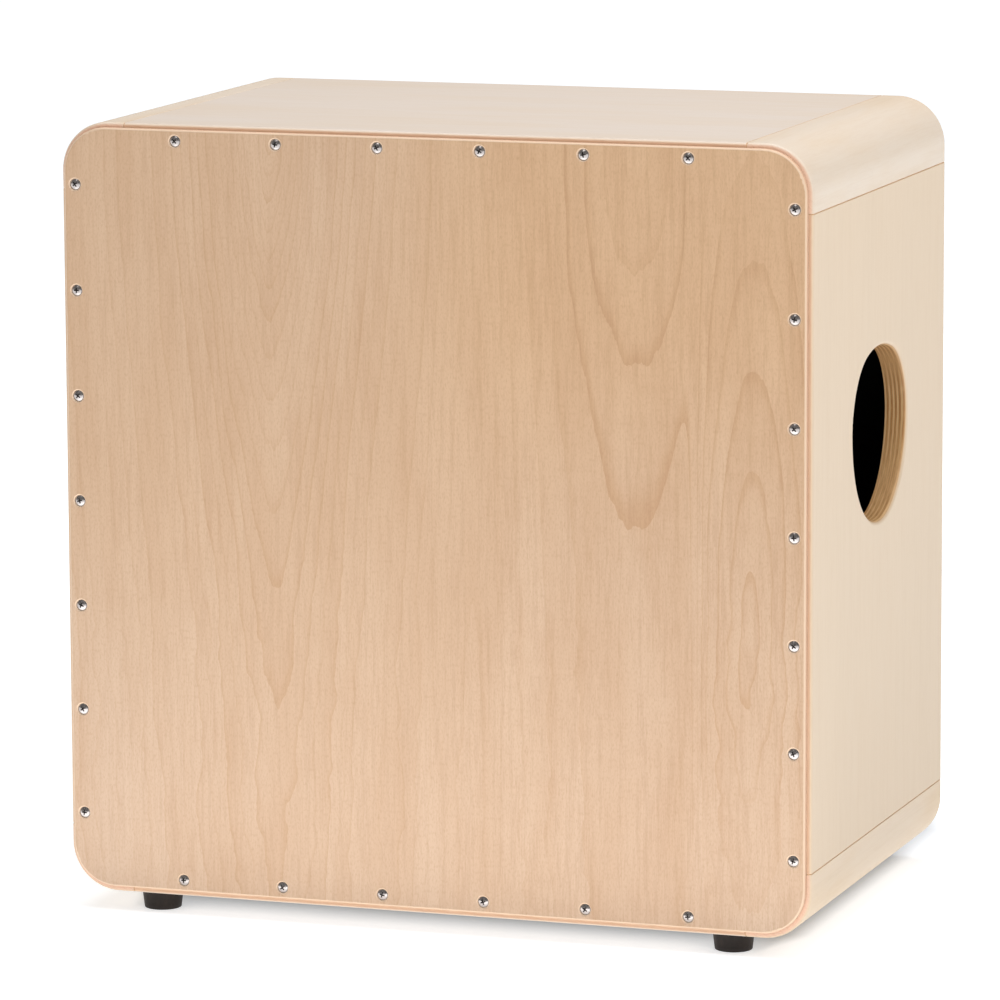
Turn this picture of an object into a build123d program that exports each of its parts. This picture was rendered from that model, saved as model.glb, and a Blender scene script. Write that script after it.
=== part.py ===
from build123d import *
from math import atan2, degrees, hypot
import os

# A bass cajon: a box of plywood panels and solid corner blocks, closed by a thin plate at the
# front, which is played, and one at the back. It stands on four rubber feet.
# Millimetres. +Z up, the front faces -Y, +X is the right hand side seen from the front.
# The origin is on the floor, under the middle of the box.

# ---- driving dimensions: the box, the plates, the port, the splines, the screws, the feet ----
body_width = 500.0
body_height = 501.0
body_depth = 310.0
panel_thickness = 15.0
corner_radius = 31.5
corner_arm = 43.0
edge_round = 3.0
seam_bevel = 0.5

plate_thickness = 4.0
plate_size = 494.0
plate_rise = 0.5
plate_corner_radius = 28.5
plate_round = 1.8

port_radius = 63.0
port_crown_height = 50.0
port_crown_radius = 100.0
port_height = 306.0
port_round = 3.0

spline_thickness = 4.0
spline_width = 16.0
spline_length = 240.0
spline_end_gap = 0.5

screw_pitch = 68.22
row_count = 6
row_inset = 10.8
column_count = 7
column_inset = 10.7
column_rise = 5.9
countersink_radius = 4.4
countersink_angle = 90.0
head_radius = 3.6
head_crown = 1.2
shank_radius = 1.5
shank_length = 20.0
tip_length = 3.0
plate_hole_radius = 1.8
pilot_clearance = 0.05
pilot_extra = 1.0
recess_length = 3.6
recess_width = 0.9
recess_depth = 1.7
recess_taper = 8.0
screw_turn = 37.0

foot_height = 12.0
foot_top_radius = 13.4
foot_base_radius = 12.0
foot_base_round = 4.0
foot_top_round = 0.6
foot_recess_radius = 5.6
foot_recess_depth = 5.0
foot_hole_radius = 2.2
foot_x = 194.0
foot_y = 137.0

washer_radius = 5.2
washer_thickness = 1.0
foot_head_radius = 4.0
foot_head_height = 2.4
foot_head_round = 1.0
foot_shank_radius = 2.0
foot_shank_length = 19.0

tolerance = 0.01

# ---- derived places ----
half_width = body_width / 2
half_depth = body_depth / 2
body_bottom = foot_height
body_top = body_bottom + body_height
body_mid = body_bottom + body_height / 2
panel_span = body_width - 2 * corner_arm
side_span = body_height - 2 * corner_arm
panel_middle = panel_thickness / 2
port_z = body_bottom + port_height
crown_excess = port_crown_radius - port_radius
crown_centre_drop = port_crown_radius - port_crown_height
# The shoulders touch the half circle's ends upright and the top arc without a corner.
shoulder_radius = (port_crown_radius**2 - crown_centre_drop**2 - port_radius**2) / (2 * crown_excess)
shoulder_turn = degrees(atan2(crown_centre_drop, port_radius - shoulder_radius))
washer_bottom = foot_recess_depth - washer_thickness
plate_pilot_depth = shank_length - plate_thickness + pilot_extra
foot_pilot_depth = foot_shank_length - (foot_height - washer_bottom) + pilot_extra
front_plane = Plane(origin=(0, -half_depth, 0), x_dir=(1, 0, 0), z_dir=(0, -1, 0))
back_plane = Plane(origin=(0, half_depth, 0), x_dir=(-1, 0, 0), z_dir=(0, 1, 0))


def outline_depth(point):
    """How far a point lies inside the rounded outline of the box, seen from the front."""
    across = max(abs(point.X) - (half_width - corner_radius), 0)
    up = max(abs(point.Z - body_mid) - (body_height / 2 - corner_radius), 0)
    return corner_radius - hypot(across, up)


def round_outer_edges(part):
    """Rounds the front and back edges of a piece where they lie on the box's outline."""
    rims = [
        edge
        for edge in part.edges()
        if abs(outline_depth(edge @ 0.5)) < tolerance
        and abs(abs((edge @ 0.5).Y) - half_depth) < tolerance
    ]
    fillet(rims, radius=edge_round)


def bevel_seam(part, seam_face_axis, place):
    """Breaks the outer edge of a joint face, which leaves a fine groove along the seam."""
    face = part.faces().filter_by(seam_face_axis).sort_by_distance(place)[0]
    rim = [edge for edge in face.edges() if outline_depth(edge @ 0.5) < edge_round / 2]
    chamfer(rim, length=seam_bevel)


# ---- seams: where a panel meets a corner block, with the middle of the joint face ----
seam_x = half_width - corner_arm
seam_low = body_bottom + corner_arm
seam_high = body_top - corner_arm
seams = {
    "top_left": ("X", -seam_x, body_top - panel_middle),
    "top_right": ("X", seam_x, body_top - panel_middle),
    "bottom_left": ("X", -seam_x, body_bottom + panel_middle),
    "bottom_right": ("X", seam_x, body_bottom + panel_middle),
    "left_upper": ("Z", -half_width + panel_middle, seam_high),
    "left_lower": ("Z", -half_width + panel_middle, seam_low),
    "right_upper": ("Z", half_width - panel_middle, seam_high),
    "right_lower": ("Z", half_width - panel_middle, seam_low),
}


def spline_box(seam_name, width, length, mode):
    """A flat bar across a seam: the loose spline, or the slot that it fills."""
    direction, x, z = seams[seam_name]
    with BuildSketch(Plane.XZ) as section:
        with Locations((x, z)):
            if direction == "X":
                Rectangle(width, spline_thickness)
            else:
                Rectangle(spline_thickness, width)
    extrude(section.sketch, amount=length / 2, both=True, mode=mode)


def finish_joints(part, seam_names):
    """Bevels the seams of a piece and cuts its spline slots."""
    for seam_name in seam_names:
        direction, x, z = seams[seam_name]
        bevel_seam(part.part, Axis.X if direction == "X" else Axis.Z, (x, 0, z))
    for seam_name in seam_names:
        spline_box(seam_name, spline_width + 2 * spline_end_gap, spline_length, Mode.SUBTRACT)


# ---- screws round the plates ----
row_places = [(i - (row_count - 1) / 2) * screw_pitch for i in range(row_count)]
column_places = [
    body_mid + column_rise + (i - (column_count - 1) / 2) * screw_pitch
    for i in range(column_count)
]
row_high = body_top - row_inset + plate_rise
row_low = body_bottom + row_inset + plate_rise
column_x = half_width - column_inset
screw_places = [(x, z) for z in (row_low, row_high) for x in row_places]
screw_places += [(x, z) for x in (-column_x, column_x) for z in column_places]


def drill_pilots(inside):
    """Drills the screw holes of a piece from the front and the back."""
    for plane in (front_plane, back_plane):
        side = plane.x_dir.X
        own = [(x, z) for x, z in screw_places if inside(side * x, z)]
        if own:
            with Locations(plane):
                with Locations(*own):
                    Hole(shank_radius + pilot_clearance, depth=plate_pilot_depth)


# ---- panels ----
def board(panel, centre, size, seam_names, inside):
    """Makes a plywood board from its rectangle seen from the front, with its joints and pilots."""
    with BuildSketch(Plane.XZ) as section:
        with Locations(centre):
            Rectangle(*size)
    extrude(section.sketch, amount=half_depth, both=True)
    round_outer_edges(panel.part)
    finish_joints(panel, seam_names)
    drill_pilots(inside)


with BuildPart() as top_panel:
    board(
        top_panel,
        (0, body_top - panel_middle),
        (panel_span, panel_thickness),
        ("top_left", "top_right"),
        lambda x, z: z > seam_high and abs(x) < seam_x,
    )

with BuildPart() as bottom_panel:
    board(
        bottom_panel,
        (0, body_bottom + panel_middle),
        (panel_span, panel_thickness),
        ("bottom_left", "bottom_right"),
        lambda x, z: z < seam_low and abs(x) < seam_x,
    )
    with Locations(Plane(origin=(0, 0, body_bottom), z_dir=(0, 0, -1))):
        with GridLocations(2 * foot_x, 2 * foot_y, 2, 2):
            Hole(foot_shank_radius + pilot_clearance, depth=foot_pilot_depth)

with BuildPart() as left_side_panel:
    board(
        left_side_panel,
        (-half_width + panel_middle, body_mid),
        (panel_thickness, side_span),
        ("left_upper", "left_lower"),
        lambda x, z: x < -seam_x and seam_low < z < seam_high,
    )

with BuildPart() as right_side_panel:
    board(
        right_side_panel,
        (half_width - panel_middle, body_mid),
        (panel_thickness, side_span),
        ("right_upper", "right_lower"),
        lambda x, z: x > seam_x and seam_low < z < seam_high,
    )
    # The port is a half circle below and a flatter crown above: two shoulders and a wide top arc.
    with BuildSketch(Plane.YZ.offset(half_width)):
        with BuildLine():
            right_shoulder = JernArc((port_radius, port_z), (0, 1), shoulder_radius, shoulder_turn)
            crown_turn = 180 - 2 * shoulder_turn
            crown = JernArc(right_shoulder @ 1, right_shoulder % 1, port_crown_radius, crown_turn)
            JernArc(crown @ 1, crown % 1, shoulder_radius, shoulder_turn)
            JernArc((-port_radius, port_z), (0, -1), port_radius, 180)
        make_face()
    extrude(amount=-panel_thickness, mode=Mode.SUBTRACT)
    outer_face = right_side_panel.faces().filter_by(Axis.X).sort_by(Axis.X)[-1]
    fillet(outer_face.inner_wires()[0].edges(), radius=port_round)


# ---- corner blocks ----
def make_corner_block(side, up, seam_names):
    """A solid wood quarter of a tube with two short arms. side and up are -1 or 1."""
    outer_z = body_mid + up * body_height / 2
    arm_x = side * seam_x
    arm_z = outer_z - up * corner_arm
    bend_x = side * (half_width - corner_radius)
    bend_z = outer_z - up * corner_radius
    inner_x = side * (half_width - panel_thickness)
    inner_z = outer_z - up * panel_thickness
    with BuildPart() as block:
        with BuildSketch(Plane.XZ):
            with BuildLine():
                outer_arc = JernArc((bend_x, outer_z), (side, 0), corner_radius, -90 * side * up)
                inner_arc = JernArc(
                    (bend_x, inner_z), (side, 0), corner_radius - panel_thickness, -90 * side * up
                )
                Polyline(outer_arc @ 0, (arm_x, outer_z), (arm_x, inner_z), inner_arc @ 0)
                Polyline(outer_arc @ 1, (side * half_width, arm_z), (inner_x, arm_z), inner_arc @ 1)
            make_face()
        extrude(amount=half_depth, both=True)
        round_outer_edges(block.part)
        finish_joints(block, seam_names)
        drill_pilots(lambda x, z: side * x > seam_x and up * (z - body_mid) > side_span / 2)
    return block


corner_block_top_left = make_corner_block(-1, 1, ("top_left", "left_upper"))
corner_block_top_right = make_corner_block(1, 1, ("top_right", "right_upper"))
corner_block_bottom_left = make_corner_block(-1, -1, ("bottom_left", "left_lower"))
corner_block_bottom_right = make_corner_block(1, -1, ("bottom_right", "right_lower"))


# ---- loose splines ----
def make_spline(seam_name):
    """A plywood tongue glued half into the panel and half into the corner block."""
    with BuildPart() as spline:
        spline_box(seam_name, spline_width, spline_length, Mode.ADD)
    return spline


# ---- plates ----
def make_plate(plane):
    """A thin plywood plate with rounded corners, a rounded rim and countersunk holes."""
    with BuildPart() as plate:
        with BuildSketch(plane):
            with Locations((0, body_mid + plate_rise)):
                RectangleRounded(plate_size, plate_size, plate_corner_radius)
        extrude(amount=plate_thickness)
        outer = plate.faces().filter_by(Axis.Y).sort_by(lambda face: abs(face.center().Y))[-1]
        fillet(outer.edges(), radius=plate_round)
        with Locations(plane.offset(plate_thickness)):
            with Locations(*screw_places):
                CounterSinkHole(
                    plate_hole_radius,
                    countersink_radius,
                    depth=plate_thickness,
                    counter_sink_angle=countersink_angle,
                )
    return plate


front_plate = make_plate(front_plane)
back_plate = make_plate(back_plane)


# ---- plate screws: raised countersunk heads with a cross recess ----
def make_screw():
    """One screw along Z, with the rim of its head at z = 0."""
    with BuildPart() as screw:
        with BuildSketch(Plane.XZ):
            with BuildLine():
                Polyline(
                    (0, head_crown),
                    (0, -shank_length),
                    (shank_radius, tip_length - shank_length),
                    (shank_radius, shank_radius - head_radius),
                    (head_radius, 0),
                )
                crown_sphere = (head_radius**2 + head_crown**2) / (2 * head_crown)
                RadiusArc((head_radius, 0), (0, head_crown), -crown_sphere)
            make_face()
        revolve(axis=Axis.Z)
        with BuildSketch(Plane.XY.offset(head_crown)):
            Rectangle(recess_length, recess_width)
            Rectangle(recess_width, recess_length)
        extrude(amount=-recess_depth, taper=recess_taper, mode=Mode.SUBTRACT)
    return screw


def make_plate_screws(plane):
    """The screws of one plate, each seated in its countersink and turned by its own angle."""
    seat = plate_thickness - (countersink_radius - head_radius)
    turned_places = [
        Location((x, z, 0), (0, 0, number * screw_turn))
        for number, (x, z) in enumerate(screw_places)
    ]
    screw = make_screw()
    with BuildPart() as screws:
        with Locations(plane.offset(seat)):
            with Locations(*turned_places):
                add(screw.part)
    return screws


front_plate_screws = make_plate_screws(front_plane)
back_plate_screws = make_plate_screws(back_plane)


# ---- feet ----
def make_foot():
    """A round rubber foot, narrower at the floor, with a recess for its screw."""
    with BuildPart() as foot:
        with BuildSketch(Plane.XZ) as profile:
            with BuildLine():
                Polyline(
                    (foot_recess_radius, 0),
                    (foot_base_radius, 0),
                    (foot_top_radius, foot_height),
                    (foot_hole_radius, foot_height),
                    (foot_hole_radius, foot_recess_depth),
                    (foot_recess_radius, foot_recess_depth),
                    close=True,
                )
            make_face()
            corners = profile.vertices()
            fillet(corners.sort_by_distance((foot_top_radius, 0, foot_height))[0], foot_top_round)
            fillet(corners.sort_by_distance((foot_base_radius, 0, 0))[0], foot_base_round)
        revolve(axis=Axis.Z)
    return foot


def make_washer():
    """A flat steel washer against the top of the foot's recess."""
    with BuildPart() as washer:
        with BuildSketch(Plane.XY.offset(foot_recess_depth)):
            Circle(washer_radius)
            Circle(foot_hole_radius, mode=Mode.SUBTRACT)
        extrude(amount=-washer_thickness)
    return washer


def make_foot_screw():
    """A pan head screw that goes up through the washer and the foot into the bottom panel."""
    with BuildPart() as foot_screw:
        with BuildSketch(Plane.XY.offset(washer_bottom)):
            Circle(foot_head_radius)
        extrude(amount=-foot_head_height)
        fillet(foot_screw.edges().sort_by(Axis.Z)[0], radius=foot_head_round)
        with BuildSketch(Plane.XY.offset(washer_bottom)):
            Circle(foot_shank_radius)
        extrude(amount=foot_shank_length)
        chamfer(foot_screw.edges().sort_by(Axis.Z)[-1], length=foot_shank_radius / 2)
        with BuildSketch(Plane.XY.offset(washer_bottom - foot_head_height)):
            Rectangle(recess_length, recess_width)
            Rectangle(recess_width, recess_length)
        extrude(amount=recess_depth, mode=Mode.SUBTRACT)
    return foot_screw


def place_at(source, x, y):
    """A copy of a piece made at the origin, moved to a foot's place."""
    with BuildPart() as placed:
        with Locations((x, y)):
            add(source.part)
    return placed


# ---- all nodes ----
nodes = {
    "front_plate": front_plate,
    "back_plate": back_plate,
    "top_panel": top_panel,
    "bottom_panel": bottom_panel,
    "left_side_panel": left_side_panel,
    "right_side_panel": right_side_panel,
    "corner_block_top_left": corner_block_top_left,
    "corner_block_top_right": corner_block_top_right,
    "corner_block_bottom_left": corner_block_bottom_left,
    "corner_block_bottom_right": corner_block_bottom_right,
    "front_plate_screws": front_plate_screws,
    "back_plate_screws": back_plate_screws,
}
for seam_name in seams:
    nodes["spline_" + seam_name] = make_spline(seam_name)
foot = make_foot()
foot_washer = make_washer()
foot_screw = make_foot_screw()
foot_places = {
    "front_left": (-foot_x, -foot_y),
    "front_right": (foot_x, -foot_y),
    "rear_left": (-foot_x, foot_y),
    "rear_right": (foot_x, foot_y),
}
for corner, (x, y) in foot_places.items():
    nodes["foot_" + corner] = place_at(foot, x, y)
    nodes["foot_washer_" + corner] = place_at(foot_washer, x, y)
    nodes["foot_screw_" + corner] = place_at(foot_screw, x, y)

os.makedirs("parts", exist_ok=True)
for name, node in nodes.items():
    node.part.label = name
    export_step(node.part, "parts/" + name + ".step")
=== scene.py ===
import math

import bmesh
import bpy
from mathutils import Matrix, Vector


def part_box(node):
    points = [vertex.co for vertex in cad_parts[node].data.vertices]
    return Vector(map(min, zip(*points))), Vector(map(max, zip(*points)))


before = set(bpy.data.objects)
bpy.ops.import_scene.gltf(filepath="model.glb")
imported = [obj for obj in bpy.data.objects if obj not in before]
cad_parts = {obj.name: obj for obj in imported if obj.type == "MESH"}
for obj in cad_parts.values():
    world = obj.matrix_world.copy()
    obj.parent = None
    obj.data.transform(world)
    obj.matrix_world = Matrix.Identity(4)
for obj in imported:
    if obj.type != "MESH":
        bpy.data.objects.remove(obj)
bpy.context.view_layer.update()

# ---- places, read from the frame ----
front_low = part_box("front_plate")[0]
top_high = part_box("top_panel")[1]
side_low, side_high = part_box("right_side_panel")
bottom_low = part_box("bottom_panel")[0]
half_width = side_high.x
body_top = top_high.z
body_bottom = bottom_low.z
half_height = (body_top - body_bottom) / 2
body_mid = (body_top + body_bottom) / 2
half_depth = side_high.y
plate_face = -front_low.y
seam_x = top_high.x
seam_z = side_high.z - body_mid
panel_thickness = side_high.x - side_low.x

# ---- sizes that the frame doesn't give ----
# PORT_UP is the port's middle above the body's, PLATE_RIM the plate rim's place inside the outline.
CORNER_RADIUS = 0.0315
PANEL_PLY = 0.015 / 11
PLATE_PLY = 0.004 / 3
GLUE_LINE = 0.00012
INSIDE_SHADE_SKIN = 0.0002
SEAM_GLUE = 0.0003
RECESS_TOP = 0.1585
RECESS_SHADE = 0.0003
PORT_UP = 0.0555
PORT_SCORCH_SHADE_SPAN = 0.055
PLATE_RIM = (0.0062, 0.0054)
SANDED_EDGE = (0.0045, 0.0035)
LOW_RIM_SHADE_SPAN = (-0.2300, -0.2455)

# How deep the relief of each surface is.
GRAIN_RELIEF = 0.00002
RAW_RELIEF = 0.00004
BRUSHED_RELIEF = 0.000006
ZINC_RELIEF = 0.00001
RUBBER_RELIEF = 0.00005

# Specular levels, and the roughness of the inside, which is painted dark as shade.
WOOD_SPECULAR = 0.4
RUBBER_SPECULAR = 0.35
FLOOR_SPECULAR = 0.1
INSIDE_SHADE_ROUGHNESS = 0.8


def srgb(red, green, blue):
    """A colour given as 0 to 255 sRGB values, as linear RGBA."""
    channels = []
    for value in (red, green, blue):
        value = value / 255
        channels.append(value / 12.92 if value <= 0.04045 else ((value + 0.055) / 1.055) ** 2.4)
    return (*channels, 1.0)


PLATE_PALE = srgb(219, 187, 157)
PLATE_WARM = srgb(220, 181, 141)
PLATE_LOW_PAINTED_GLARE = srgb(220, 191, 165)
PLATE_AMBER = srgb(196, 152, 112)
PLATE_FIBRE = srgb(178, 132, 94)
PLATE_BARE_AND_HIGHLIGHT = srgb(242, 212, 182)
# The top and bottom panels' face is cooler and paler than the sides': a painted sheen.
PANEL_FACE_AND_TOP_SHEEN = {"x": srgb(229, 216, 205), "z": srgb(229, 206, 178)}
PANEL_WARM = srgb(226, 204, 177)
PANEL_FIBRE = srgb(196, 166, 134)
CORNER_FACE = srgb(234, 218, 200)
CORNER_WARM = srgb(229, 201, 165)
SEAM_TAN = srgb(206, 160, 112)
INSIDE_PAINTED_SHADE = srgb(20, 18, 17)
RIM_PLY = srgb(230, 190, 160)
RIM_CROSS_PLY = srgb(214, 170, 138)
RIM_PAINTED_SHADE = srgb(172, 120, 84)
PORT_SIDE_CUT = srgb(240, 200, 146)
EDGE_SIDE_CUT = srgb(238, 204, 172)
CUT_GRAIN = srgb(206, 156, 100)
PORT_END_CUT = srgb(220, 168, 108)
EDGE_END_CUT = srgb(224, 182, 150)
CUT_PORES = srgb(168, 104, 50)
SCORCHED_SHADED_END = srgb(148, 92, 40)
SCORCHED_SHADED_SIDE = srgb(192, 142, 84)
GLUE_BROWN = srgb(120, 76, 42)
EDGE_VENEER = srgb(236, 204, 168)
CORNER_RING = srgb(216, 186, 152)
CORNER_END = srgb(236, 196, 168)
CORNER_END_RING = srgb(222, 172, 140)
CORNER_PORES = srgb(184, 132, 100)
RAW_PALE = srgb(206, 172, 128)
RAW_DARK = srgb(176, 136, 92)
NICKEL = srgb(204, 196, 192)
NICKEL_DULL = srgb(176, 168, 164)
RECESS_PAINTED_SHADE = srgb(62, 52, 48)
ZINC_PALE = srgb(196, 198, 200)
ZINC_DARK = srgb(150, 152, 156)
RUBBER_BLACK = srgb(34, 24, 18)
RUBBER_DUST = srgb(46, 35, 29)
RUBBER_WORN = srgb(58, 52, 48)


# ---- node building ----
class Graph:
    """A material's nodes. Each method adds a node and returns its output socket."""

    def __init__(self, name):
        self.material = bpy.data.materials.new(name)
        self.material.use_nodes = True
        self.tree = self.material.node_tree
        self.tree.nodes.clear()
        self.shader = self.node("ShaderNodeBsdfPrincipled")
        output = self.node("ShaderNodeOutputMaterial")
        self.tree.links.new(self.shader.outputs[0], output.inputs[0])

    def node(self, kind, **settings):
        made = self.tree.nodes.new(kind)
        for key, value in settings.items():
            setattr(made, key, value)
        return made

    def feed(self, socket, value):
        if isinstance(value, bpy.types.NodeSocket):
            self.tree.links.new(value, socket)
        else:
            socket.default_value = value

    def set(self, **inputs):
        """Feeds the shader's inputs, named in lower case with underscores."""
        for key, value in inputs.items():
            self.feed(self.shader.inputs[key.replace("_", " ").title()], value)

    def math(self, operation, *values, clamp=False):
        made = self.node("ShaderNodeMath", operation=operation, use_clamp=clamp)
        for socket, value in zip(made.inputs, values):
            self.feed(socket, value)
        return made.outputs[0]

    def add(self, a, b):
        return self.math("ADD", a, b)

    def less(self, a, b):
        return self.math("SUBTRACT", a, b)

    def times(self, a, b):
        return self.math("MULTIPLY", a, b)

    def over(self, a, b):
        return self.math("DIVIDE", a, b)

    def size(self, a):
        return self.math("ABSOLUTE", a)

    def power(self, a, b):
        return self.math("POWER", a, b)

    def fade(self, value, low, high, to_low=0.0, to_high=1.0, smooth=True):
        """Maps low..high to to_low..to_high, held at both ends."""
        made = self.node("ShaderNodeMapRange")
        made.interpolation_type = "SMOOTHSTEP" if smooth else "LINEAR"
        for socket, item in zip(made.inputs, (value, low, high, to_low, to_high)):
            self.feed(socket, item)
        return made.outputs[0]

    def place(self):
        """The point's place in the part's own frame, as x, y and z."""
        point = self.node("ShaderNodeTexCoord").outputs["Object"]
        made = self.node("ShaderNodeSeparateXYZ")
        self.feed(made.inputs[0], point)
        return made.outputs[0], made.outputs[1], made.outputs[2]

    def facing(self):
        """How far the surface faces along x, y and z, without its sign."""
        normal = self.node("ShaderNodeTexCoord").outputs["Normal"]
        made = self.node("ShaderNodeSeparateXYZ")
        self.feed(made.inputs[0], normal)
        return tuple(self.size(made.outputs[i]) for i in range(3))

    def point(self, x, y, z):
        made = self.node("ShaderNodeCombineXYZ")
        for socket, value in zip(made.inputs, (x, y, z)):
            self.feed(socket, value)
        return made.outputs[0]

    def noise(self, point, stretch, detail=2.0, roughness=0.5, distortion=0.0):
        """Noise from 0 to 1; stretch is its frequency along each axis, in cycles per metre."""
        scaled = self.node("ShaderNodeVectorMath", operation="MULTIPLY")
        self.feed(scaled.inputs[0], point)
        self.feed(scaled.inputs[1], stretch)
        made = self.node("ShaderNodeTexNoise")
        self.feed(made.inputs["Vector"], scaled.outputs[0])
        self.feed(made.inputs["Scale"], 1.0)
        self.feed(made.inputs["Detail"], detail)
        self.feed(made.inputs["Roughness"], roughness)
        self.feed(made.inputs["Distortion"], distortion)
        return made.outputs["Fac"]

    def mix(self, factor, a, b):
        """Mixes two colours."""
        made = self.node("ShaderNodeMix", data_type="RGBA")
        made.clamp_factor = True
        self.feed(made.inputs[0], factor)
        self.feed(made.inputs[6], a)
        self.feed(made.inputs[7], b)
        return made.outputs[2]

    def blend(self, factor, a, b):
        """Mixes two numbers."""
        made = self.node("ShaderNodeMix", data_type="FLOAT")
        self.feed(made.inputs[0], factor)
        self.feed(made.inputs[2], a)
        self.feed(made.inputs[3], b)
        return made.outputs[0]

    def bump(self, height, depth):
        """A normal from a height of 0 to 1 that stands for depth in metres."""
        made = self.node("ShaderNodeBump")
        self.feed(made.inputs["Distance"], depth)
        self.feed(made.inputs["Height"], height)
        return made.outputs[0]


def outline_depth(g, x, z):
    """How far a point lies inside the rounded outline of the box, seen from the front."""
    across = g.math("MAXIMUM", g.less(g.size(x), half_width - CORNER_RADIUS), 0.0)
    up = g.math("MAXIMUM", g.less(g.size(g.less(z, body_mid)), half_height - CORNER_RADIUS), 0.0)
    return g.less(CORNER_RADIUS, g.math("SQRT", g.add(g.times(across, across), g.times(up, up))))


def fibres(g, across, along, depth):
    """Fine fibres, streaks and pores that run along the grain, from 0 to 1."""
    point = g.point(across, along, depth)
    broad = g.noise(point, (330, 16, 330), detail=2.0, roughness=0.6)
    fine = g.noise(point, (1100, 60, 1100), detail=2.0, roughness=0.6)
    pores = g.noise(point, (2600, 210, 2600), detail=1.0)
    streaks = g.add(g.times(broad, 0.5), g.times(fine, 0.4))
    return g.add(streaks, g.times(g.fade(pores, 0.60, 0.78), 0.25))


# ---- plates: thin plywood with a figured face ----
# Each flame is a nest of growth lines about a line up the plate, where the veneer cut nearest the
# pith. centre is that line's place across the plate, deepest and reach say how fast the cut leaves
# the pith on the way down, ring is the width of a year's growth there, spread is how much wider
# each year is than the one before, and point says how pointed the nest is: 1 is a plain V, 2 a U.
FINE_FLAME = dict(centre=-0.104, deepest=0.058, reach=0.300, ring=0.0025, spread=0.06, point=1.6)
BROAD_FLAME = dict(centre=0.136, deepest=0.0565, reach=0.185, ring=0.0120, spread=0.02, point=2.35)
ISLAND = dict(centre=0.214, height=-0.064, swell=0.119, bend=0.89, ring=0.0085)
RINGS_APART = 16.1
ISLAND_APART = -3.0


def flame_rings(g, across, up, flame):
    """How far a point is from the pith of a nest that points down, and the growth rings up to it."""
    below_top = g.over(g.less(half_height, up), flame["reach"])
    depth = g.times(g.math("TANH", below_top), flame["deepest"])
    side = g.size(g.less(across, flame["centre"]))
    powers = g.add(g.power(side, flame["point"]), g.power(depth, flame["point"]))
    total = g.power(powers, 1 / flame["point"])
    widened = g.add(g.times(total, flame["spread"] / flame["ring"]), 1.0)
    return total, g.over(g.math("LOGARITHM", widened, math.e), flame["spread"])


def island_rings(g, across, up):
    """Growth rings counted over a nest of long closed loops."""
    side = g.less(across, ISLAND["centre"])
    depth = g.times(g.power(g.size(g.less(up, ISLAND["height"])), ISLAND["bend"]), ISLAND["swell"])
    total = g.add(g.times(side, side), g.times(depth, depth))
    return g.over(g.math("SQRT", total), ISLAND["ring"])


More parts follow.
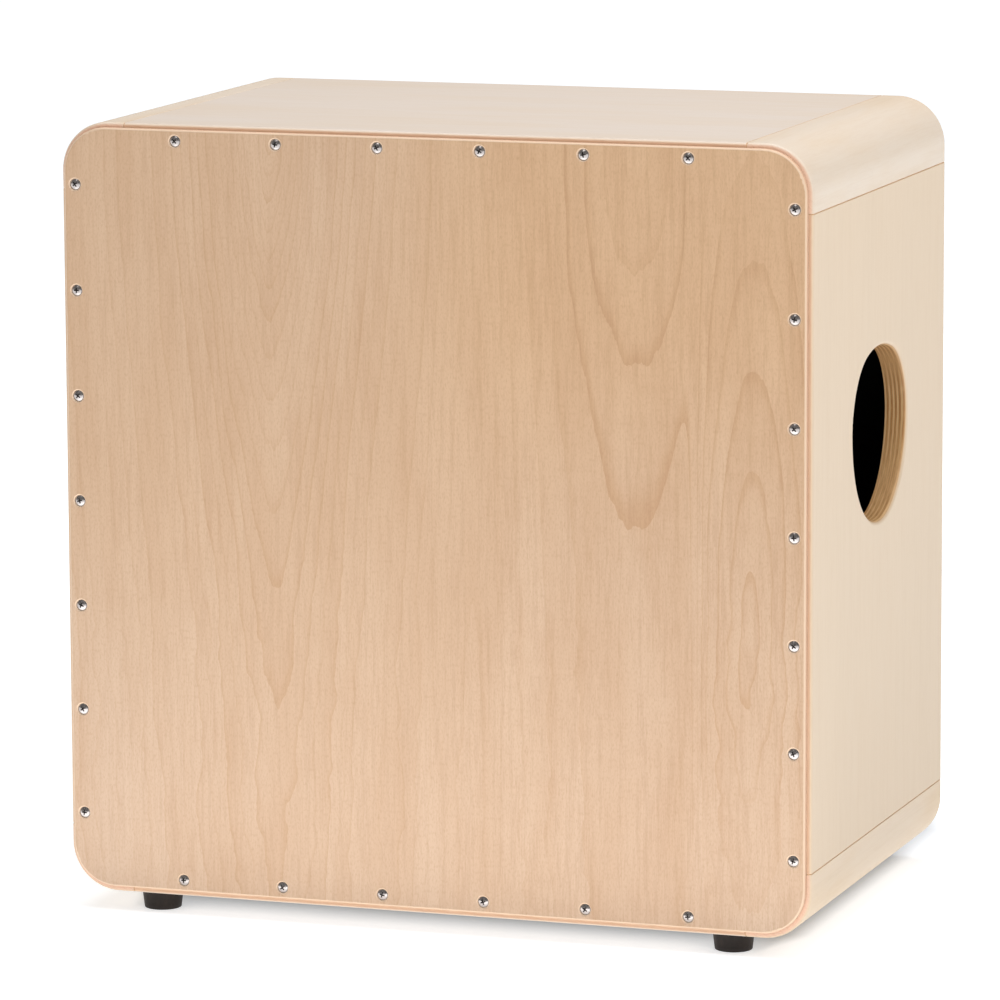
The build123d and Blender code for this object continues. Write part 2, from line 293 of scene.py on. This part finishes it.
def plate_material(name, turn):
    """A thin plywood plate; turn is 1 on the front and -1 on the back, where the figure is turned."""
    g = Graph(name)
    x, y, z = g.place()
    facing_y = g.facing()[1]
    across = g.times(x, turn)
    up = g.less(z, body_mid)
    plane = g.point(across, up, y)
    sway = g.less(g.noise(plane, (6, 2.0, 1), detail=2.0), 0.5)
    lift = g.less(g.noise(plane, (11, 3.0, 1), detail=2.0), 0.5)
    jag = g.less(g.noise(plane, (95, 9, 1), detail=3.0, roughness=0.6), 0.5)
    tongue = g.less(g.noise(plane, (26, 13, 1), detail=3.0, roughness=0.6), 0.5)
    low = g.fade(up, 0.03, -0.12, 0.15, 1.0)
    warped_across = g.add(across, g.add(g.times(sway, 0.018), g.times(jag, 0.0042)))
    warped_across = g.add(warped_across, g.times(g.times(tongue, low), 0.028))
    warped_up = g.add(up, g.add(g.times(lift, 0.040), g.times(jag, 0.024)))
    fine_pith, fine = flame_rings(g, warped_across, warped_up, FINE_FLAME)
    broad_pith, broad = flame_rings(g, warped_across, warped_up, BROAD_FLAME)
    broad = g.add(broad, RINGS_APART)
    island = g.add(island_rings(g, warped_across, warped_up), RINGS_APART + ISLAND_APART)
    right_half = g.fade(across, 0.0, 0.055)
    beside = g.fade(across, 0.165, 0.185)
    rings = g.blend(beside, g.blend(right_half, fine, broad), island)
    phase = g.math("FRACT", rings)
    tone = g.noise(g.point(g.math("FLOOR", rings), 3.7, 0.0), (0.77, 1, 1), detail=0.0)
    sharpness = g.blend(right_half, 3.0, 5.0)
    line = g.add(g.times(g.power(phase, sharpness), 0.45), g.times(g.fade(phase, 0.78, 0.97), 0.55))
    fine_strength = g.fade(fine_pith, 0.055, 0.095, 1.0, 0.60)
    broad_strength = g.fade(g.size(g.less(broad_pith, 0.042)), 0.020, 0.010, 0.35, 1.2)
    island_strength = g.times(g.fade(up, 0.20, 0.17, 0.25, 0.9), g.fade(up, -0.20, -0.11, 0.25, 1.0))
    strength = g.blend(right_half, fine_strength, g.blend(beside, broad_strength, island_strength))
    weakest = g.blend(right_half, 0.60, 0.90)
    line = g.times(g.times(line, strength), g.fade(tone, 0.30, 0.65, weakest, 1.0))
    mottle = g.noise(plane, (34, 6, 1), detail=3.0, roughness=0.55)
    cloud = g.noise(plane, (3.1, 1.3, 1), detail=1.0)
    fibre = fibres(g, across, up, y)
    speckle = g.noise(plane, (1000, 420, 1000), detail=1.0)
    curl = g.noise(plane, (45, 130, 1), detail=2.0)

    upper_right = g.times(g.fade(across, -0.10, 0.08), g.fade(up, -0.04, 0.16))
    # Paler and less saturated towards the bottom: painted glare from the bright floor.
    colour = g.mix(g.fade(up, 0.05, -0.22), PLATE_PALE, PLATE_LOW_PAINTED_GLARE)
    colour = g.mix(g.times(upper_right, 0.9), colour, PLATE_WARM)
    colour = g.mix(g.times(g.fade(cloud, 0.35, 0.65), 0.25), colour, PLATE_WARM)
    colour = g.mix(g.times(g.fade(tone, 0.35, 0.75), 0.12), colour, PLATE_AMBER)
    colour = g.mix(g.times(line, g.blend(right_half, 0.42, 0.58)), colour, PLATE_AMBER)
    colour = g.mix(g.times(g.fade(mottle, 0.35, 0.70), 0.22), colour, PLATE_AMBER)
    fibre_strength = g.blend(right_half, 0.22, 0.28)
    colour = g.mix(g.times(g.fade(fibre, 0.38, 0.62), fibre_strength), colour, PLATE_FIBRE)
    colour = g.mix(g.times(g.fade(speckle, 0.45, 0.70), 0.18), colour, PLATE_FIBRE)
    curl_strength = g.blend(right_half, 0.02, 0.05)
    colour = g.mix(g.times(g.fade(curl, 0.40, 0.70), curl_strength), colour, PLATE_FIBRE)

    # The rounded rim and the countersinks are bare wood, made pale partly as a painted highlight; the rim's
    # side shows face, cross and back ply.
    depth = g.less(plate_face, g.times(y, -turn))
    sloped = g.less(1.0, facing_y)
    colour = g.mix(g.times(g.fade(sloped, 0.01, 0.14), 0.85), colour, PLATE_BARE_AND_HIGHLIGHT)
    cross_starts = g.fade(depth, PLATE_PLY, PLATE_PLY + INSIDE_SHADE_SKIN)
    cross_ends = g.fade(depth, 2 * PLATE_PLY + INSIDE_SHADE_SKIN, 2 * PLATE_PLY)
    cross = g.times(cross_starts, cross_ends)
    ply = g.mix(cross, RIM_PLY, RIM_CROSS_PLY)
    from_outline = outline_depth(g, x, z)
    at_rim = g.fade(from_outline, *PLATE_RIM)
    # The ply of the lower rim, which faces down, is darkened with painted shade.
    ply = g.mix(g.times(g.fade(up, *LOW_RIM_SHADE_SPAN), 0.6), ply, RIM_PAINTED_SHADE)
    colour = g.mix(g.times(g.fade(sloped, 0.35, 0.9), at_rim), colour, ply)
    # The inside of the box is painted near-black as shade.
    inside = g.fade(depth, 3 * PLATE_PLY - INSIDE_SHADE_SKIN, 3 * PLATE_PLY - INSIDE_SHADE_SKIN / 2)
    colour = g.mix(inside, colour, INSIDE_PAINTED_SHADE)

    sheen = g.fade(fibre, 0.2, 0.8, 0.40, 0.52)
    relief = g.add(g.times(fibre, 0.6), g.times(phase, 0.4))
    g.set(base_color=colour, roughness=g.blend(inside, sheen, INSIDE_SHADE_ROUGHNESS))
    g.set(normal=g.bump(relief, GRAIN_RELIEF))
    g.shader.inputs["Specular IOR Level"].default_value = WOOD_SPECULAR
    return g.material


# ---- panels: pale plywood, plies at every cut edge ----
def panel_material(name, grain):
    """15 mm plywood. grain is "x" on the top and bottom, "z" on the sides."""
    g = Graph(name)
    x, y, z = g.place()
    facing_x, facing_y, facing_z = g.facing()
    along, across = (x, z) if grain == "x" else (z, x)
    facing_grain, facing_out = (facing_x, facing_z) if grain == "x" else (facing_z, facing_x)
    up = g.less(z, body_mid)
    depth = outline_depth(g, x, z)
    surface = g.point(y, along, across)
    mottle = g.noise(surface, (26, 5, 26), detail=3.0, roughness=0.5)
    cloud = g.noise(surface, (5, 2, 5), detail=1.0)
    fibre = fibres(g, y, along, across)

    # On the top and bottom panels the face colour holds a painted sheen.
    face = PANEL_FACE_AND_TOP_SHEEN[grain]
    colour = g.mix(g.times(g.fade(mottle, 0.35, 0.70), 0.30), face, PANEL_WARM)
    colour = g.mix(g.times(cloud, 0.25), colour, PANEL_WARM)
    colour = g.mix(g.times(g.fade(fibre, 0.38, 0.62), 0.07), colour, PANEL_FIBRE)

    # Even plies lie across: a ply is dark where it is cut across its fibres.
    count = g.over(depth, PANEL_PLY)
    crossed = g.fade(g.size(g.less(g.math("MODULO", count, 2.0), 1.5)), 0.52, 0.44)
    end_grain = g.blend(crossed, g.power(facing_grain, 2.0), g.power(facing_y, 2.0))
    edge = g.fade(g.less(1.0, facing_out), 0.03, 0.55)
    cut = g.noise(g.point(y, along, depth), (120, 120, 1400), detail=3.0, roughness=0.6)
    # The rounded front and back edges are sanded and pale. The port's routed wall is scorched, with painted
    # shade on top of the scorch: none at the port's bottom, most over its upper half, which faces down.
    sanded = g.fade(g.size(y), half_depth - SANDED_EDGE[0], half_depth - SANDED_EDGE[1])
    grainy = g.fade(cut, 0.3, 0.7)
    scorch_and_shade = g.fade(up, PORT_UP - PORT_SCORCH_SHADE_SPAN, PORT_UP + PORT_SCORCH_SHADE_SPAN)
    side_cut = g.mix(sanded, PORT_SIDE_CUT, EDGE_SIDE_CUT)
    side_cut = g.mix(g.times(grainy, g.blend(sanded, 0.45, 0.3)), side_cut, CUT_GRAIN)
    end_cut = g.mix(sanded, PORT_END_CUT, EDGE_END_CUT)
    end_cut = g.mix(g.times(grainy, g.blend(sanded, 0.6, 0.15)), end_cut, CUT_PORES)
    end_cut = g.mix(g.times(scorch_and_shade, g.blend(sanded, 0.75, 0.0)), end_cut, SCORCHED_SHADED_END)
    side_cut = g.mix(g.times(scorch_and_shade, g.blend(sanded, 0.25, 0.0)), side_cut, SCORCHED_SHADED_SIDE)
    ply = g.mix(end_grain, side_cut, end_cut)
    to_glue = g.size(g.less(g.math("FRACT", g.add(count, 0.5)), 0.5))
    glue = g.fade(to_glue, GLUE_LINE / PANEL_PLY, 0.0)
    ply = g.mix(g.times(glue, g.blend(sanded, 0.45, 0.22)), ply, GLUE_BROWN)
    veneer = g.fade(depth, PANEL_PLY * 1.02, PANEL_PLY * 0.6)
    ply = g.mix(g.times(veneer, 0.55), ply, EDGE_VENEER)
    colour = g.mix(edge, colour, ply)
    # The inside of the box is painted near-black as shade.
    inside = g.fade(depth, panel_thickness - INSIDE_SHADE_SKIN, panel_thickness - INSIDE_SHADE_SKIN / 2)
    colour = g.mix(inside, colour, INSIDE_PAINTED_SHADE)

    # A thin glue line shows at the bottom of each seam.
    from_middle, seam_place = (x, seam_x) if grain == "x" else (up, seam_z)
    seam = g.size(g.less(g.size(from_middle), seam_place))
    colour = g.mix(g.fade(seam, SEAM_GLUE, SEAM_GLUE / 3), colour, SEAM_TAN)

    sheen = g.fade(fibre, 0.2, 0.8, 0.42, 0.52)
    relief = g.add(fibre, g.times(edge, g.times(end_grain, -0.6)))
    g.set(base_color=colour, roughness=g.blend(inside, sheen, INSIDE_SHADE_ROUGHNESS))
    g.set(normal=g.bump(relief, GRAIN_RELIEF))
    g.shader.inputs["Specular IOR Level"].default_value = WOOD_SPECULAR
    return g.material


# ---- corner blocks: pale solid wood, grain along the depth of the box ----
def corner_material(name):
    g = Graph(name)
    x, y, z = g.place()
    facing_y = g.facing()[1]
    depth = outline_depth(g, x, z)
    section = g.point(x, z, y)
    sway = g.less(g.noise(section, (9, 9, 2.2), detail=2.0), 0.5)
    ring = g.over(g.add(g.add(g.times(x, 0.62), g.times(z, 0.78)), g.times(sway, 0.02)), 0.0042)
    phase = g.math("FRACT", ring)
    line = g.add(g.times(g.power(phase, 2.0), 0.5), g.times(g.fade(phase, 0.82, 0.97), 0.5))
    mottle = g.noise(section, (30, 30, 6), detail=3.0)
    fibre = fibres(g, x, y, z)

    # Besides the random mottle, the blocks turn warmer and darker towards the bottom.
    warmth = g.add(g.times(g.fade(mottle, 0.35, 0.70), 0.40), g.fade(z, body_mid, body_bottom, 0.0, 0.5))
    colour = g.mix(warmth, CORNER_FACE, CORNER_WARM)
    colour = g.mix(g.times(line, 0.07), colour, CORNER_RING)
    colour = g.mix(g.times(g.fade(fibre, 0.38, 0.62), 0.08), colour, PANEL_FIBRE)
    pores = g.noise(section, (1500, 1500, 40), detail=1.0)
    end_cut = g.mix(g.times(line, 0.4), CORNER_END, CORNER_END_RING)
    end_cut = g.mix(g.times(g.fade(pores, 0.55, 0.7), 0.2), end_cut, CORNER_PORES)
    colour = g.mix(g.fade(facing_y, 0.52, 0.96), colour, end_cut)
    # The inside of the block is painted near-black as shade.
    inside = g.fade(depth, panel_thickness - INSIDE_SHADE_SKIN, panel_thickness - INSIDE_SHADE_SKIN / 2)
    colour = g.mix(inside, colour, INSIDE_PAINTED_SHADE)
    seam_side = g.size(g.less(g.size(x), seam_x))
    seam_up = g.size(g.less(g.size(g.less(z, body_mid)), seam_z))
    seam = g.math("MINIMUM", seam_side, seam_up)
    colour = g.mix(g.fade(seam, SEAM_GLUE, SEAM_GLUE / 3), colour, SEAM_TAN)

    sheen = g.fade(fibre, 0.2, 0.8, 0.40, 0.50)
    g.set(base_color=colour, roughness=g.blend(inside, sheen, INSIDE_SHADE_ROUGHNESS))
    g.set(normal=g.bump(fibre, GRAIN_RELIEF))
    g.shader.inputs["Specular IOR Level"].default_value = WOOD_SPECULAR
    return g.material


def spline_material(name):
    """Raw thin plywood tongues inside the joints."""
    g = Graph(name)
    x, y, z = g.place()
    fibre = fibres(g, x, y, z)
    colour = g.mix(fibre, RAW_PALE, RAW_DARK)
    g.set(base_color=colour, roughness=g.fade(fibre, 0.2, 0.8, 0.6, 0.8), normal=g.bump(fibre, RAW_RELIEF))
    return g.material


# ---- metal and rubber ----
def plate_screw_material(name):
    """Bright nickel plate with smudges of dirt, and painted shade down in the recess."""
    g = Graph(name)
    x, y, z = g.place()
    point = g.point(x, z, y)
    smudge = g.noise(point, (900, 900, 900), detail=3.0)
    scratch = g.noise(point, (2400, 260, 400), detail=2.0, distortion=1.5)
    # The recess is darkened with painted shade.
    recess = g.fade(g.size(y), RECESS_TOP, RECESS_TOP - RECESS_SHADE)
    colour = g.mix(smudge, NICKEL, NICKEL_DULL)
    colour = g.mix(g.times(recess, 0.9), colour, RECESS_PAINTED_SHADE)
    roughness = g.add(g.fade(scratch, 0.35, 0.75, 0.20, 0.32), g.times(recess, 0.2))
    g.set(base_color=colour, metallic=1.0, roughness=roughness, normal=g.bump(scratch, BRUSHED_RELIEF))
    return g.material


def zinc_material(name):
    """Dull zinc plate on the washers and the foot screws."""
    g = Graph(name)
    x, y, z = g.place()
    point = g.point(x, y, z)
    bloom = g.noise(point, (700, 700, 700), detail=4.0, roughness=0.6)
    colour = g.mix(bloom, ZINC_PALE, ZINC_DARK)
    g.set(base_color=colour, metallic=1.0, roughness=g.fade(bloom, 0.3, 0.7, 0.28, 0.46))
    g.set(normal=g.bump(bloom, ZINC_RELIEF))
    return g.material


def rubber_material(name):
    """Black-brown moulded rubber with a fine matt skin."""
    g = Graph(name)
    x, y, z = g.place()
    point = g.point(x, y, z)
    skin = g.noise(point, (2200, 2200, 2200), detail=2.0)
    dust = g.noise(point, (160, 160, 90), detail=4.0, roughness=0.65)
    worn = g.fade(z, 0.0035, 0.0)
    colour = g.mix(g.fade(dust, 0.45, 0.75), RUBBER_BLACK, RUBBER_DUST)
    colour = g.mix(g.times(worn, 0.5), colour, RUBBER_WORN)
    g.set(base_color=colour, roughness=g.fade(skin, 0.3, 0.7, 0.48, 0.62))
    g.set(normal=g.bump(skin, RUBBER_RELIEF))
    g.shader.inputs["Specular IOR Level"].default_value = RUBBER_SPECULAR
    return g.material


# ---- every node gets its material ----
front_ply = plate_material("front_plate_ply", 1)
back_ply = plate_material("back_plate_ply", -1)
flat_ply = panel_material("panel_ply_lengthwise", "x")
upright_ply = panel_material("panel_ply_upright", "z")
corner_wood = corner_material("corner_block_wood")
spline_ply = spline_material("spline_plywood")
bright_steel = plate_screw_material("screw_nickel")
zinc = zinc_material("foot_hardware_zinc")
rubber = rubber_material("foot_rubber_skin")


def material_of(node):
    """The material of a CAD node, by its name."""
    exact = {
        "front_plate": front_ply,
        "back_plate": back_ply,
        "top_panel": flat_ply,
        "bottom_panel": flat_ply,
        "left_side_panel": upright_ply,
        "right_side_panel": upright_ply,
        "front_plate_screws": bright_steel,
        "back_plate_screws": bright_steel,
    }
    if node in exact:
        return exact[node]
    if node.startswith("corner_block"):
        return corner_wood
    if node.startswith("spline"):
        return spline_ply
    if node.startswith("foot_washer") or node.startswith("foot_screw"):
        return zinc
    return rubber


for node_name, node_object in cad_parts.items():
    for slot in node_object.material_slots:
        slot.material = material_of(node_name)


# ---- floor, light and camera ----
# The floor glows less under the box. Each shade gives the two distances between which that fades
# out: in from the sides, in from the front, and out beyond the back.
FLOOR_RADIUS = 60.0
NEAR_GLOW = 0.10
OPEN_GLOW = 0.60
SHADE_TINT = (0.86, 0.96, 1.05, 1.0)
OPEN_TINT = (0.97, 0.99, 1.01, 1.0)
FAR_GLOW = 0.92
FAR_START = 0.6
FAR_END = 1.6
POOL_GLOW = 1.12
POOL_WIDTH = 0.60
POOL_NEAR = -0.165
POOL_FAR = -0.55
WORLD_STRENGTH = 0.2
CAMERA_ANGLES = (19.113, 9.310, -0.263)
CAMERA_AIM = (0.02779, -0.10400, 0.27351)
CAMERA_DISTANCE = 4.0975
CAMERA_LENS = 231.32
SENSOR_WIDTH = 36.0
CAMERA_REACH = 200
SHADE_ASIDE = (0.0385, 0.0195)
SHADE_BEFORE = (0.0620, 0.0110)
SHADE_BEHIND = (0.085, 0.150)
POOL_NEAR_EDGE = 0.05
POOL_FAR_EDGE = 0.20
FLOOR_WHITE = (0.70, 0.72, 0.74, 1.0)
FLOOR_ROUGHNESS = 0.9
WORLD_WHITE = (1.0, 1.0, 1.0, 1.0)
# Each lamp's name, azimuth, elevation, distance, width, height and power.
LAMPS = (
    ("overhead_light", 180, 86, 2.3, 2.4, 2.4, 47.5),
    ("side_light", 70, 40, 2.0, 0.9, 0.9, 9.3),
    ("front_light", -8, 50, 2.6, 0.8, 0.4, 2.9),
)


def make_floor():
    """A wide pale floor. Its glow keeps it white a little way out from the box, and rises in a pool
    of light before the front plate."""
    mesh = bpy.data.meshes.new("floor")
    shape = bmesh.new()
    bmesh.ops.create_circle(shape, cap_ends=True, segments=64, radius=FLOOR_RADIUS)
    shape.to_mesh(mesh)
    shape.free()
    floor = bpy.data.objects.new("floor", mesh)
    bpy.context.scene.collection.objects.link(floor)
    g = Graph("floor_white")
    x, y, z = g.place()
    aside = g.fade(g.size(x), half_width - SHADE_ASIDE[0], half_width - SHADE_ASIDE[1], smooth=False)
    before = g.fade(y, SHADE_BEFORE[0] - half_depth, SHADE_BEFORE[1] - half_depth, smooth=False)
    behind = g.fade(y, half_depth + SHADE_BEHIND[0], half_depth + SHADE_BEHIND[1], smooth=False)
    open_share = g.math("ADD", aside, g.math("MAXIMUM", before, behind), clamp=True)
    glow = g.blend(open_share, NEAR_GLOW, OPEN_GLOW)
    away = g.math("SQRT", g.add(g.times(x, x), g.times(y, y)))
    glow = g.add(glow, g.fade(away, FAR_START, FAR_END, 0.0, FAR_GLOW - OPEN_GLOW))
    wide = g.fade(g.size(x), POOL_WIDTH, POOL_WIDTH / 2)
    deep = g.times(
        g.fade(y, POOL_NEAR, POOL_NEAR - POOL_NEAR_EDGE), g.fade(y, POOL_FAR - POOL_FAR_EDGE, POOL_FAR)
    )
    glow = g.add(glow, g.times(g.times(wide, deep), POOL_GLOW))
    g.set(base_color=FLOOR_WHITE, roughness=FLOOR_ROUGHNESS, emission_strength=glow)
    g.set(emission_color=g.mix(open_share, SHADE_TINT, OPEN_TINT))
    g.shader.inputs["Specular IOR Level"].default_value = FLOOR_SPECULAR
    mesh.materials.append(g.material)


def make_world():
    """An even white surround."""
    world = bpy.data.worlds.new("studio")
    world.use_nodes = True
    background = world.node_tree.nodes["Background"]
    background.inputs["Color"].default_value = WORLD_WHITE
    background.inputs["Strength"].default_value = WORLD_STRENGTH
    bpy.context.scene.world = world


def add_softbox(name, azimuth, elevation, distance, width, height, power):
    """A rectangular soft light that faces the middle of the box. Azimuth 0 is in front, 90 to the right."""
    light = bpy.data.lights.new(name, "AREA")
    light.shape = "RECTANGLE"
    light.size = width
    light.size_y = height
    light.energy = power
    lamp = bpy.data.objects.new(name, light)
    a, e = math.radians(azimuth), math.radians(elevation)
    away = Vector((math.sin(a) * math.cos(e), -math.cos(a) * math.cos(e), math.sin(e)))
    lamp.location = Vector((0, 0, body_mid)) + away * distance
    lamp.rotation_euler = away.to_track_quat("Z", "Y").to_euler()
    bpy.context.scene.collection.objects.link(lamp)


def place_camera():
    """A long lens to the right of the front and a little above it, turned a trace clockwise."""
    azimuth, elevation, roll = (math.radians(angle) for angle in CAMERA_ANGLES)
    back = Vector((
        math.sin(azimuth) * math.cos(elevation),
        -math.cos(azimuth) * math.cos(elevation),
        math.sin(elevation),
    ))
    level = Vector((math.cos(azimuth), math.sin(azimuth), 0))
    upright = back.cross(level)
    right = level * math.cos(roll) + upright * math.sin(roll)
    up = upright * math.cos(roll) - level * math.sin(roll)
    data = bpy.data.cameras.new("camera")
    data.lens = CAMERA_LENS
    data.sensor_width = SENSOR_WIDTH
    data.clip_end = CAMERA_REACH
    camera = bpy.data.objects.new("camera", data)
    position = Vector(CAMERA_AIM) + back * CAMERA_DISTANCE
    turn = Matrix((right, up, back)).transposed().to_4x4()
    camera.matrix_world = Matrix.Translation(position) @ turn
    bpy.context.scene.collection.objects.link(camera)
    bpy.context.scene.camera = camera


make_floor()
make_world()
for lamp_values in LAMPS:
    add_softbox(*lamp_values)
place_camera()

bpy.context.scene.view_settings.view_transform = "Standard"
